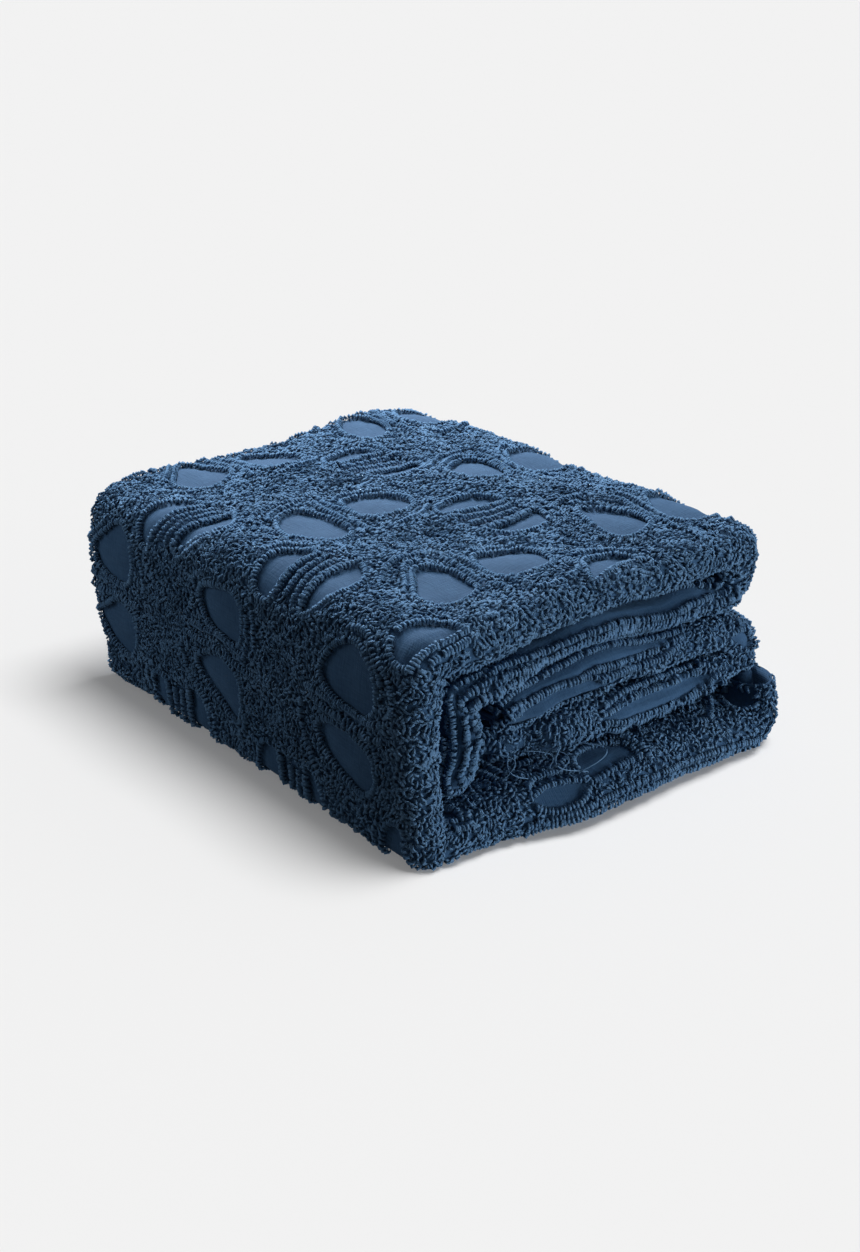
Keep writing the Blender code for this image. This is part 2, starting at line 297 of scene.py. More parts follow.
def ply_length(place):
    thick = eased(THICKNESS, place)
    return DEPTH - PLY - eased(SET_IN_FRONT, place) - eased(SET_IN_BACK, place) - (NOSE_IN + FOLD_IN) * thick


def run_at(place, b):
    """The run across the packet that lies b metres from the nose's tip: b / nose within the nose, and past it
    the share of the ply, then of the back fold, then of the inner ply, but not to its end."""
    thick = eased(THICKNESS, place)
    nose, ply, fold = half_nose(place), ply_length(place), np.pi * FOLD_IN * (thick - PLY / 2)
    past = b - nose
    inside = 1 - np.clip((-b - nose) / (ply + FOLD_IN * thick), 0, 1)
    outside = 2 + np.clip(past / ply, 0, 1) + np.clip((past - ply) / fold, 0, 1)
    outside = outside + np.clip((past - ply - fold) / ply, 0, 0.9)
    return np.where(b < -nose, inside, np.where(b > nose, outside, 1.5 + b / (2 * nose)))


# The pattern, charted in millimetres on a repeat: a pair of plain petals that lean apart, and half a repeat
# away two plain half moons with three plain slots between them.
REPEAT = np.array([190, 168]) * MM
PAIR_AT = np.array([metres(UPPER_LEFT) + 0.112, 0.086])
PETALS = ((-34, 3, 22, 30, 10), (34, -3, 23, 29, -12))  # centre, half width, half length, lean in degrees
MOONS = ((-5, 21, 30, 22, 1), (3, -22, 29, 21, -1))  # middle of the flat side, half width, height, and which way up
SLOTS = ((-11, 24), (0, 28), (11, 23))  # from the motif's middle, half length
SLOT = 1.9  # half width
SLOTS_FROM = 0.050  # in metres from the nose's tip, for the nose has no slots
PATTERN_END = metres(11.3)  # the inner layers have strips instead
NARROWING = 0.28  # of a petal's width, from its middle to its tip
STRAY = 2.2 * MM  # how far each motif is moved from its place
DRIFT, DRIFT_LONG = 4.0 * MM, 0.075  # how far the pattern slips on the soft cloth, and the length of that ripple
FAR = 1.0  # more than any distance in the pattern

# On the inner layers and the curled end, plain strips from one place to another along the packet, with the
# distances from the nose's tip and the half width in millimetres.
STRIPS = (
    (11.3, -13, 13.9, -16, 6.5),
    (11.9, 13, 14.3, 15, 4.0),
    (24.1, -15, 25.95, -14, 5.5),
    (24.9, 4, 26.0, 9, 9.0),
    (20.3, 2, 21.5, 6, 7.0),
    (22.3, -4, 23.2, 2, 6.0),
    (18.0, -10, 18.5, -6, 5.0),
    (21.7, -118, 23.4, -130, 15.0),
    (21.6, -232, 23.5, -222, 16.0),
    (21.7, -336, 23.4, -350, 14.0),
    (1.3, 12, 2.7, 14, 4.5),
    (2.15, -14, 2.75, -10, 6.0),
    (14.3, -11, 17.6, -9, 2.2),
    (14.2, 0, 17.9, 2, 2.2),
    (14.4, 11, 17.5, 13, 2.2),
)


def drift(a, b):
    """How far the pattern has slipped on the soft cloth: a slow ripple each way."""
    return np.stack([DRIFT * ripple(a, b, DRIFT_LONG, seed) for seed in (14, 15)], axis=-1)


def strayed(column, row):
    """How far a motif is moved each way: a sine that is unlike from one motif to the next."""
    return [STRAY * np.sin(3.1 * column + 5.3 * row + phase) for phase in (0.4, 2.6)]


def in_repeat(a, b, half):
    """Where a point is in its repeat, from the motif's middle, with each motif moved a little from its place."""
    cells = [(way - start) / step + 0.5 - half / 2 for way, start, step in zip((a, b), PAIR_AT, REPEAT)]
    whole = [np.floor(cell) for cell in cells]
    moved = strayed(*whole)
    return [(cell - row - 0.5) * step + shift for cell, row, step, shift in zip(cells, whole, REPEAT, moved)]


def oval(x, y, half_x, half_y):
    """About how far a point is outside an oval, along the ray from its middle."""
    ray = np.hypot(x, y) + 1e-9
    return ray - ray / np.maximum(np.hypot(x / half_x, y / half_y), 1e-6)


def narrowed(along, half_y):
    """A petal's width at a way along it, in shares of its width in the middle."""
    return np.clip(1 - NARROWING * along / (half_y * MM), 0.5, 1.5)


def petal_frame(x, y, petal):
    """A point from a petal's middle, turned by its lean, and widened where the petal is narrow."""
    middle_x, middle_y, _, half_y, lean = petal
    cosine, sine = math.cos(math.radians(lean)), math.sin(math.radians(lean))
    x, y = x - middle_x * MM, y - middle_y * MM
    along = sine * x + cosine * y
    return (cosine * x - sine * y) / narrowed(along, half_y), along


def strip_at(strip, share):
    """A strip's middle at a share of its way, and its half width there, which tapers to both ends."""
    place, offset, end_place, end_offset, half = strip
    start, end = metres(place), metres(end_place)
    tapered = half * MM * (1 - np.abs(2 * np.clip(share, 0, 1) - 1) ** 3)
    return start + (end - start) * share, (offset + (end_offset - offset) * share) * MM, tapered


def bare(a, b):
    """How far a point of the cloth is outside the plain places of the pattern, in metres, and less than 0 in them:
    the least of the distances to each petal, half moon, slot and strip."""
    slipped = drift(a, b)
    x, y = in_repeat(a + slipped[..., 0], b + slipped[..., 1], 0)
    nearest = np.full(np.shape(a), FAR)
    for petal in PETALS:
        across, along = petal_frame(x, y, petal)
        nearest = np.minimum(nearest, oval(across, along, petal[2] * MM, petal[3] * MM))
    x, y = in_repeat(a + slipped[..., 0], b + slipped[..., 1], 1)
    for middle_x, middle_y, half, height, way in MOONS:
        rise = (y - middle_y * MM) * way
        moon = np.maximum(oval(x - middle_x * MM, rise, half * MM, height * MM), -rise)
        nearest = np.minimum(nearest, moon)
    for offset, half in SLOTS:
        past = np.maximum(np.abs(x) - half * MM, 0) + np.where(b < SLOTS_FROM, FAR, 0.0)
        nearest = np.minimum(nearest, np.hypot(past, y - offset * MM) - SLOT * MM)
    nearest = np.where(a > PATTERN_END, FAR, nearest)
    for strip in STRIPS:
        start, end = metres(strip[0]), metres(strip[2])
        along, middle, half = strip_at(strip, np.clip((a - start) / (end - start), 0, 1))
        nearest = np.minimum(nearest, np.hypot(a - along, b - middle) - half)
    return nearest


PULLED, UNEVEN, DOME, WRINKLE, WAVE = 1.21 * MM, 0.55 * MM, 2.2 * MM, 0.30 * MM, 1.0 * MM  # heights of the relief
EDGE = 2 * MM  # half the width of the flat rim round a plain place


def relief(a, b):
    """How far the woven cloth stands off its own back: raised and uneven where the tufts pull it up, softly domed
    and wrinkled in the plain places, and waved all over."""
    outside = bare(a, b)
    tufted = smooth_step((outside - EDGE) / 0.007) * (PULLED + UNEVEN * ripple(a, b, size=0.014, seed=11))
    dome = DOME * smooth_step((-outside - EDGE) / 0.014)
    wrinkles = WRINKLE * ripple(a, b * 0.6, size=0.013, seed=12) * (1 - smooth_step(outside / (2 * EDGE)))
    return tufted + dome + wrinkles + WAVE * ripple(a, b, size=0.075, seed=13)


def on_cloth(a, b):
    """The middle of the cloth at its own measure."""
    place = np.interp(a, ALONG, FINE)
    return cloth_middle(place, run_at(place, b))


def cloth_frame(a, b):
    """The middle of the cloth, its two directions there, the way out of its tufted face, and the true area of a
    square of the measure, which is under 1 where the cloth is gathered."""
    step = 0.0004
    by_a = (on_cloth(a + step, b) - on_cloth(a - step, b)) / (2 * step)
    by_b = (on_cloth(a, b + step) - on_cloth(a, b - step)) / (2 * step)
    out = np.cross(by_a, by_b)
    area = np.linalg.norm(out, axis=-1)
    out = out / np.maximum(area, 1e-9)[..., None]
    along = unit(by_a - out * np.sum(by_a * out, axis=-1, keepdims=True) + 1e-9)
    return on_cloth(a, b), along, np.cross(out, along), out, area


FACING_DOWN, FACING_EASE = 0.85, 0.12  # how steeply down a face looks
DOWN_UNDER, DOWN_EASE = 0.0045, 0.0015  # and how low it is


def on_the_floor(points, out):
    """1 where the cloth's face is down on the floor, where its pile is pressed flat."""
    facing = smooth_step((-out[..., 2] - FACING_DOWN) / FACING_EASE)
    return facing * smooth_step((DOWN_UNDER - points[..., 2]) / DOWN_EASE)


# The stations along the packet are closer where it turns, and the lines across it are closest round the noses.
STATIONS = 270
LINES = (16, 26, 60, 8, 5, 6, 5)  # in each run
TURNING = 0.020  # metres of length that a radian of turning counts for


def stations():
    """Places along the packet at equal steps of a sum of its length and its turning."""
    path = wound(FINE, np.ones_like(FINE)) + wound(FINE, -np.ones_like(FINE))
    ways = unit(legs(path))
    turning = np.concatenate([[0], np.linalg.norm(legs(ways), axis=-1)])
    effort = np.concatenate([[0], np.cumsum(legs(ALONG) + TURNING * turning)])
    return np.interp(np.linspace(0, effort[-1], STATIONS), effort, FINE)


def closed_sheet(face, back):
    """The points and faces of a thin closed sheet from two grids: one face each, and a rim between their edges."""
    rows, lines = face.shape[:2]
    index = np.arange(rows * lines).reshape(rows, lines)
    quads = np.stack([index[:-1, :-1], index[1:, :-1], index[1:, 1:], index[:-1, 1:]], axis=-1).reshape(-1, 4)
    edge = np.concatenate([index[:-1, 0], index[-1, :-1], index[:0:-1, -1], index[0, :0:-1]])
    following, under = np.roll(edge, -1), rows * lines
    rim = np.stack([following, edge, edge + under, following + under], axis=-1)
    points = np.concatenate([face.reshape(-1, 3), back.reshape(-1, 3)])
    return points, np.concatenate([quads, quads[:, ::-1] + under, rim])


def cloth_object(name, points, faces, measure):
    """A piece from an array of points and one of faces, with a map of each face corner's measure."""
    mesh = bpy.data.meshes.new(name)
    mesh.vertices.add(len(points))
    mesh.vertices.foreach_set("co", points.astype(np.float32).ravel())
    mesh.loops.add(faces.size)
    mesh.loops.foreach_set("vertex_index", faces.astype(np.int32).ravel())
    mesh.polygons.add(len(faces))
    mesh.polygons.foreach_set("loop_start", np.arange(0, faces.size, faces.shape[1], dtype=np.int32))
    mesh.update(calc_edges=True)
    mesh.uv_layers.new(name="measure").data.foreach_set("uv", measure.astype(np.float32).ravel())
    mesh.shade_smooth()
    piece = bpy.data.objects.new(name, mesh)
    bpy.context.scene.collection.objects.link(piece)
    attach(piece, "root")
    return piece


class Shade:
    """A number, colour or shader that a tree of nodes works out. Sums on numbers add Math nodes."""

    def __init__(self, nodes, socket):
        self.nodes, self.socket = nodes, socket

    def maths(self, operation, first, second=0.0):
        return self.nodes.node("ShaderNodeMath", {"operation": operation}, {0: first, 1: second})

    def __add__(self, other):
        return self.maths("ADD", self, other)

    def __sub__(self, other):
        return self.maths("SUBTRACT", self, other)

    def __rsub__(self, other):
        return self.maths("SUBTRACT", other, self)

    def __mul__(self, other):
        return self.maths("MULTIPLY", self, other)

    def sine(self):
        return self.maths("SINE", self)

    __radd__, __rmul__ = __add__, __mul__


class Nodes:
    """The nodes of one tree. Each is made with its settings, then its sockets' values or links."""

    def __init__(self, tree):
        self.tree = tree

    def node(self, kind, settings, sockets, output=0):
        made = self.tree.nodes.new(kind)
        for name, value in settings.items():
            setattr(made, name, value)
        for name, value in sockets.items():
            self.feed(made.inputs[name], value)
        return Shade(self, made.outputs[output])

    def feed(self, socket, value):
        if isinstance(value, Shade):
            self.tree.links.new(value.socket, socket)
        else:
            socket.default_value = value


class Dye(Nodes):
    """A dyed cotton finish: the nodes of one material, dull and with a faint blue sheen of fibres."""

    MIX_SHARE, MIX_FIRST, MIX_SECOND, MIX_RESULT = 0, 6, 7, 2  # the colour sockets of a Mix node

    def __init__(self, material_name, roughness, sheen, sheen_roughness):
        self.material = bpy.data.materials.new(material_name)
        self.material.use_nodes = True
        super().__init__(self.material.node_tree)
        self.shader = self.tree.nodes["Principled BSDF"]
        uniform = {"Roughness": roughness, "Sheen Weight": sheen, "Sheen Roughness": sheen_roughness}
        for name, value in {**uniform, "Sheen Tint": (0.30, 0.60, 1.0, 1), "Specular IOR Level": 0.15}.items():
            self.shader.inputs[name].default_value = value

    def noise(self, place, scale, detail=2.0):
        return self.node("ShaderNodeTexNoise", {}, {"Vector": place, "Scale": scale, "Detail": detail})

    def blend(self, share, first, second):
        sockets = {self.MIX_SHARE: share, self.MIX_FIRST: first, self.MIX_SECOND: second}
        return self.node("ShaderNodeMix", {"data_type": "RGBA"}, sockets, output=self.MIX_RESULT)

    def measure(self):
        """The piece's own measure, and its two ways one by one."""
        place = self.node("ShaderNodeUVMap", {"uv_map": "measure"}, {})
        return place, *(self.node("ShaderNodeSeparateXYZ", {}, {0: place}, output=way) for way in ("X", "Y"))

    def on_object(self):
        return self.node("ShaderNodeTexCoord", {}, {}, output="Object")

    def finish(self, colour, height, distance, strength):
        self.feed(self.shader.inputs["Base Color"], colour)
        raised = self.node("ShaderNodeBump", {}, {"Height": height, "Distance": distance, "Strength": strength})
        self.feed(self.shader.inputs["Normal"], raised)
        return self.material


WEAVE = 2 * math.pi / 0.0016  # one thread over and one under in 1.6 mm
SLUB_LONG, SLUB_THIN = 70.0, 650.0  # streaks of noise for each metre, along a slub and across it
CLOTH_DARK = (0.017, 0.052, 0.118, 1)
CLOTH_LIGHT = (0.027, 0.074, 0.156, 1)
CLOTH_PALE = (0.046, 0.110, 0.208, 1)


def woven_cotton():
    """Plain weave: sines across each other along the cloth's measure, with slubs as long streaks of noise both
    ways, and a slightly uneven dye."""
    dye = Dye("woven_cotton", roughness=0.88, sheen=0.12, sheen_roughness=0.45)
    measure, a, b = dye.measure()
    along = dye.node("ShaderNodeMapping", {}, {"Vector": measure, "Scale": (SLUB_LONG, SLUB_THIN, 1.0)})
    across = dye.node("ShaderNodeMapping", {}, {"Vector": measure, "Scale": (SLUB_THIN, SLUB_LONG, 1.0)})
    slubs = dye.noise(along, scale=1.0) + dye.noise(across, scale=1.0)
    weave = (a * WEAVE).sine() * (b * WEAVE).sine()
    uneven = dye.noise(dye.on_object(), scale=28.0, detail=3.0)
    tone = dye.blend(uneven, CLOTH_DARK, CLOTH_LIGHT)
    tone = dye.blend(slubs * 0.9 - 0.62, tone, CLOTH_PALE)
    return dye.finish(tone, weave * 0.25 + slubs, distance=0.0007, strength=0.55)


CLEAR = 0.0001  # of the floor
place_grid, run_grid = np.meshgrid(
    stations(),
    np.concatenate([[0]] + [run + np.arange(1, lines + 1) / lines for run, lines in enumerate(LINES)]),
    indexing="ij",
)
middle = cloth_middle(place_grid, run_grid)
out = unit(np.cross(np.gradient(middle, axis=0), np.gradient(middle, axis=1)))
nose_grid, ply_grid = half_nose(place_grid), ply_length(place_grid)
cloth_a = metres(place_grid)
cloth_b = np.where(
    run_grid < 1,
    -nose_grid - (1 - run_grid) * ply_grid,
    np.where(run_grid < 2, (run_grid - 1.5) * 2 * nose_grid, nose_grid + (run_grid - 2) * ply_grid),
)
pressed = on_the_floor(middle, out)
stand = CLOTH - PLY / 2 + relief(cloth_a, cloth_b) * (1 - pressed) + (PLY - CLOTH) * pressed
face = middle + out * stand[..., None]
cloth_points, cloth_faces = closed_sheet(face, middle - out * (PLY / 2))
cloth_points[:, 2] = np.maximum(cloth_points[:, 2], CLEAR)
cloth_measure = np.tile(np.stack([cloth_a, cloth_b], axis=-1).reshape(-1, 2), (2, 1))[cloth_faces]
cloth = cloth_object("bedspread_cloth", cloth_points, cloth_faces, cloth_measure)
cloth.data.materials.append(woven_cotton())
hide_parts("bedspread")

# The tufts: short fat loops of soft-spun cotton, worked through the cloth. They stand in neat rows round each plain
# place, each loop across its row, and lie every way between the rows.
PITCH = 3.1 * MM
FIRST_ROW, SECOND_ROW = 3.4 * MM, 11.0 * MM  # from the edge of a plain place
FILL_A, FILL_B = 3.4 * MM, 3.5 * MM
ROW_STRAY, ROW_TURN = 0.25 * MM, 0.10  # how unevenly the loops of a row stand, and how far they turn
FILL_STRAY, FILL_TURN = 0.75 * MM, 0.6
ROW_CLEAR, FILL_CLEAR, ROW_GAP = 1.6 * MM, 2.0 * MM, 2.7 * MM  # from a plain place, and between fill and row
random = np.random.default_rng(41)


def row_of_tufts(points):
    """Tufts at an even pitch along a line of points on the cloth: where they are, and their heading across it."""
    way = np.concatenate([[0], np.cumsum(np.linalg.norm(legs(points), axis=-1))])
    at = np.arange(PITCH / 2, way[-1], PITCH)
    at = at + random.normal(0, ROW_STRAY, len(at))
    a, b = np.interp(at, way, points[:, 0]), np.interp(at, way, points[:, 1])
    ahead = [np.interp(at + MM, way, points[:, axis]) for axis in (0, 1)]
    heading = np.arctan2(ahead[1] - b, ahead[0] - a) + np.pi / 2
    return np.stack([a, b, heading + random.normal(0, ROW_TURN, len(at))], axis=-1)


def petal_line(petal, off, angle):
    """The outline of a petal at a distance: an oval, narrowed towards its tip and turned by its lean."""
    middle_x, middle_y, half_x, half_y, lean = petal
    cosine, sine = math.cos(math.radians(lean)), math.sin(math.radians(lean))
    along = (half_y * MM + off) * np.sin(angle)
    across = (half_x * MM + off) * np.cos(angle) * narrowed(along, half_y)
    x, y = cosine * across + sine * along, cosine * along - sine * across
    return np.stack([x + middle_x * MM, y + middle_y * MM], axis=-1)


def moon_line(moon, off, angle):
    """The outline of a half moon at a distance: half an oval, closed by its flat side."""
    middle_x, middle_y, half, height, way = moon
    x = (half * MM + off) * np.cos(angle)
    y = np.where(np.sin(angle) > 0, (height * MM + off) * np.sin(angle), -off)
    return np.stack([x + middle_x * MM, y * way + middle_y * MM], axis=-1)


# Rows between the motifs, in millimetres from a pair of petals' middle: ends along, ends across, and bend.
LINKS = (
    ((-6, -3), (-44, 40), 0),
    ((6, 9), (44, -36), 5),
    ((-66, -10), (36, 52), 9),
    ((62, 14), (-38, -54), -8),
)
SLOT_ROWS, SLOT_ROW = (-16.2, -5.5, 5.5, 16.2), 27 * MM  # beside the slots, and half their length
ROUND_AGAIN = (0.12, 0.3)  # how much of the way the second row goes


def rows_of_the_motifs():
    """The rows once round each petal and half moon, and part of the way again, the ones that link the motifs, and
    the ones beside the slots. They are charted on an even repeat, and then slip with the cloth."""
    found = []
    full, share = np.linspace(0, 2 * np.pi, 121), np.linspace(0, 1, 40)
    for column in range(-5, 5):
        for row in range(-1, 4):
            at, shift = np.array([column, row]), strayed(column, row)
            for half, line, motifs in ((0, petal_line, PETALS), (1, moon_line, MOONS)):
                middle = PAIR_AT + (at + half / 2) * REPEAT - shift
                for motif in motifs:
                    found.append(row_of_tufts(middle + line(motif, FIRST_ROW, full)))
                    part = np.linspace(0, 2 * np.pi * random.uniform(*ROUND_AGAIN), 50)
                    part = part + random.uniform(0, 2 * np.pi)
                    found.append(row_of_tufts(middle + line(motif, SECOND_ROW, part)))
            for ends_x, ends_y, bend in LINKS:
                x = ends_x[0] + (ends_x[1] - ends_x[0]) * share
                y = ends_y[0] + (ends_y[1] - ends_y[0]) * share + bend * 4 * share * (1 - share)
                link = np.stack([x, y], axis=-1) * MM
                found.append(row_of_tufts(PAIR_AT + at * REPEAT - shift + link))
            for offset in SLOT_ROWS if middle[1] > SLOTS_FROM else ():
                x = np.linspace(-SLOT_ROW, SLOT_ROW, 12)
                found.append(row_of_tufts(middle + np.stack([x, offset * MM + 0 * x], axis=-1)))
    found = np.concatenate(found)
    charted = found[:, :2].copy()
    for _ in range(3):
        found[:, :2] = charted - drift(found[:, 0], found[:, 1])
    return found[(found[:, 0] < PATTERN_END) & (bare(found[:, 0], found[:, 1]) > ROW_CLEAR)]


def rows_of_the_strips():
    """Two rows on each side of every strip, closing in towards its ends."""
    found = []
    for strip in STRIPS:
        a, middle, half = strip_at(strip, np.linspace(-0.06, 1.06, 80))
        for side in (-1, 1):
            for off in (FIRST_ROW, SECOND_ROW):
                found.append(row_of_tufts(np.stack([a, middle + side * (half + off)], axis=-1)))
    found = np.concatenate(found)
    return found[bare(found[:, 0], found[:, 1]) > ROW_CLEAR]


CELL = 0.8 * MM  # of the chart that keeps the tufts apart
CHART = (int(metres(LAST) / CELL) + 40, int(1.10 / CELL))  # how many cells, along and across
CHART_FROM = np.array([-0.01, -0.50])  # its first corner, in metres


def free_of(rows, a, b):
    """Whether each spot has a gap to every tuft in the rows, read from a chart of square cells."""

    def cell(points, i=0, j=0):
        at_a, at_b = ((points - CHART_FROM) / CELL).astype(int).T
        return np.clip(at_a + i, 0, CHART[0] - 1), np.clip(at_b + j, 0, CHART[1] - 1)

    chart = np.zeros(CHART, bool)
    cells = int(ROW_GAP / CELL) + 1
    for i in range(-cells, cells + 1):
        for j in range(-cells, cells + 1):
            if math.hypot(i, j) * CELL < ROW_GAP:
                chart[cell(rows[:, :2], i, j)] = True
    return ~chart[cell(np.stack([a, b], axis=-1))]


def fill_of_tufts(rows):
    """Tufts on a staggered grid over the whole cloth, each moved a little, and left out in plain places and beside
    the rows. Their headings follow a slow ripple, with a wide spread."""
    along, across = np.arange(0.002, metres(LAST) - 0.004, FILL_A), np.arange(-0.48, 0.50, FILL_B)
    grid_a, grid_b = np.meshgrid(along, across, indexing="ij")
    grid_b = grid_b + FILL_B / 2 * (np.arange(grid_a.shape[0]) % 2)[:, None]
    a = (grid_a + random.normal(0, FILL_STRAY, grid_a.shape)).ravel()
    b = (grid_b + random.normal(0, FILL_STRAY, grid_b.shape)).ravel()
    heading = 2.2 * ripple(a, b, size=0.060, seed=21) + random.normal(0, FILL_TURN, len(a))
    fill = np.stack([a, b, heading], axis=-1)
    return fill[(bare(a, b) > FILL_CLEAR) & free_of(rows, a, b)]


CURLED_END = 1.3  # the place where the end at the lower right lies flat again


def on_the_outside(place):
    """Whether a place is on the left side, the top or the right side."""
    return (place > LOWER_LEFT - 0.3) & (place < SECOND - 0.7)


def showing(a, b):
    """Where tufts can be seen: all over the outside, round the front noses, round the folds at the back, on the
    inner layers' fold and the curled end at the right, and a little way into the gaps at the front. The margins
    are in places along the packet, in half noses and in metres."""
    place = np.interp(a, ALONG, FINE)
    nose, ply = half_nose(place), ply_length(place)
    shell = on_the_outside(place) & (b > -nose)
    front = (b > -1.05 * nose) & (b < 1.15 * nose)
    back = (b > nose + ply - 0.006) & (b < nose + ply + 0.6 * nose)
    last_fold = (place > RIGHT_FOLD - 0.6) & (place < RIGHT_FOLD + 1.7) & (b < nose) & (b > -nose - ply)
    curled_end = (place < CURLED_END) & (b > 0) & (b < nose + ply)
    below = (place < LOWER_LEFT) & (b > 1.6 * nose)
    in_the_gaps = ((place < LOWER_LEFT) | (place > THIRD)) & (b > -nose - 0.035) & (b < 0)
    shell = shell & (b < nose + ply + 0.6 * nose)
    return shell | (front & ~below) | back | last_fold | curled_end | in_the_gaps


RINGS = np.array([(-0.95, 0.58, 0.85), (0, 1, 1), (0.95, 0.58, 0.85)])  # along the loop, height, and girth
ENDS = np.array([(-0.62, -0.10), (0.62, -0.10)])  # along the loop, and height
RING_TURN = 0.5  # radians that a ring is turned by, a half length from the loop's middle
LOOP_SIDES = 4
LOOP_POINTS = len(RINGS) * LOOP_SIDES + 2


def loop_faces():
    """The triangles of one loop, round its rings and closed to a point at both ends, and the way along the loop
    and round it at each corner."""
    sides, first, last = np.arange(LOOP_SIDES), LOOP_POINTS - 2, LOOP_POINTS - 1
    following = (sides + 1) % LOOP_SIDES
    top = (len(RINGS) - 1) * LOOP_SIDES
    faces = [np.stack([sides * 0 + first, following, sides], axis=-1)]
    for ring in range(len(RINGS) - 1):
        low, high = ring * LOOP_SIDES, (ring + 1) * LOOP_SIDES
        faces.append(np.stack([low + sides, low + following, high + following], axis=-1))
        faces.append(np.stack([low + sides, high + following, high + sides], axis=-1))
    faces.append(np.stack([top + sides, top + following, sides * 0 + last], axis=-1))
    faces = np.concatenate(faces)
    way = np.concatenate([np.repeat((1.0 + np.arange(len(RINGS))) / (len(RINGS) + 1), LOOP_SIDES), [0, 1]])
    turn = np.concatenate([np.tile(sides, len(RINGS)), [0.5, 0.5]]) / LOOP_SIDES
    corner_turn = turn[faces]
    corner_turn = np.where(corner_turn.max(axis=1, keepdims=True) - corner_turn > 0.5, corner_turn + 1, corner_turn)
    return faces, np.stack([way[faces], corner_turn], axis=-1)


def loop_points(tufts):
    """The points of every loop: rings of the yarn round an arch that is wider above than at its foot. Each loop has
    its own length, thickness and height, bows and leans to its own side, and goes into the cloth at both ends."""
    a, b, heading, long, thick, high, bow, lean = tufts.T
    middle, along, across, out, _ = cloth_frame(a, b)
    pressed = on_the_floor(middle, out)
    root = middle + out * (CLOTH - PLY / 2 + relief(a, b) * (1 - pressed))[:, None]
    cosine, sine = np.cos(heading)[:, None], np.sin(heading)[:, None]
    ahead, aside = cosine * along + sine * across, cosine * across - sine * along
    angle = 2 * np.pi * np.arange(LOOP_SIDES) / LOOP_SIDES + RING_TURN * RINGS[:, :1]
    x, arch = (np.append(np.repeat(RINGS[:, i], LOOP_SIDES), ENDS[:, i]) for i in (0, 1))
    y, z = (np.append(RINGS[:, 2:] * circle(angle), [0, 0]) for circle in (np.cos, np.sin))
    up = (high - thick)[:, None] * arch + thick[:, None] * z
    points = root[:, None] + ahead[:, None] * (long[:, None] * x)[..., None] + out[:, None] * up[..., None]
    points += aside[:, None] * (thick[:, None] * y + bow[:, None] * arch + lean[:, None] * up)[..., None]
    points[..., 2] = np.maximum(points[..., 2], 2 * CLEAR)
    return points, np.clip(up / high[:, None], 0, 1)


# The yarn's colours. The dark one is painted shade where a loop goes into the cloth, and also shows in the darker
# fibres.
YARN_DARK = (0.042, 0.100, 0.196, 1)
YARN_MIDDLE = (0.067, 0.153, 0.286, 1)
YARN_LIGHT = (0.128, 0.240, 0.395, 1)


def soft_yarn():
    """Soft-spun cotton: darker where a loop goes into the cloth, which is painted shade at its root, each loop its
    own shade of blue, with a twist of strands that goes round the loop as it goes along, and fibres as fine noise."""
    dye = Dye("soft_yarn", roughness=0.90, sheen=0.35, sheen_roughness=0.50)
    tip, shade = (
        dye.node("ShaderNodeAttribute", {"attribute_name": name}, {}, output="Fac") for name in ("tip", "shade")
    )
    _, along, around = dye.measure()
    fibres = dye.noise(dye.on_object(), scale=1400.0)
    uneven = dye.noise(dye.on_object(), scale=22.0, detail=3.0)
    # Painted shade: the colour darkens from a loop's tip down to its root in the cloth, with the fibres' own darker
    # and lighter spots on top.
    tone = dye.blend(tip * 0.9 + fibres * 0.5 - 0.25, YARN_DARK, YARN_MIDDLE)
    tone = dye.blend(shade * 0.45 + uneven * 0.8 - 0.35, tone, YARN_LIGHT)
    twist = ((along * 3.0 + around * 2.0) * (2 * math.pi)).sine()
    return dye.finish(tone, twist * 0.5 + fibres * 1.2, distance=0.0006, strength=0.7)


CROWDED = 0.85  # where the cloth is gathered, its area to this power is the share of tufts that stay
TOP_NEAR, TOP_MIDDLE = 0.16, 0.32  # where two regions of the top end, from the nose's tip
rows = np.concatenate([rows_of_the_motifs(), rows_of_the_strips()])
fill = fill_of_tufts(rows)
in_row = np.concatenate([np.ones(len(rows)), np.zeros(len(fill))])
spots = np.concatenate([rows, fill])
seen = showing(spots[:, 0], spots[:, 1])
spots, in_row = spots[seen], in_row[seen]
area = cloth_frame(spots[:, 0], spots[:, 1])[4]
kept = random.uniform(0, 1, len(spots)) < np.clip(area, 0, 1) ** CROWDED
spots, in_row = spots[kept], in_row[kept]
count = len(spots)
clumps = 1 + np.where(in_row, 0.05, 0.20) * ripple(spots[:, 0], spots[:, 1], size=0.016, seed=31)
combed = ripple(spots[:, 0], spots[:, 1], size=0.045, seed=32)
half_lengths = np.where(in_row, 3.1, 2.6) * MM * random.uniform(0.85, 1.2, count)
half_widths = np.where(in_row, 1.45, 1.10) * MM * random.uniform(0.85, 1.2, count)
heights = np.where(in_row, 5.4, 3.2) * MM * random.uniform(0.85, 1.15, count) * clumps
bows = np.where(in_row, 0.25, 0.75) * MM * random.normal(0, 1, count)
leans = np.where(in_row, 0.10, 0.35) * random.normal(0, 1, count) + np.where(in_row, 0.0, 0.45) * combed
tufts = np.column_stack([spots, half_lengths, half_widths, heights, bows, leans])

tuft_place, tuft_b = np.interp(spots[:, 0], ALONG, FINE), spots[:, 1]
tuft_nose, tuft_ply = half_nose(tuft_place), ply_length(tuft_place)
outside = on_the_outside(tuft_place) & (tuft_b > -0.2 * tuft_nose)

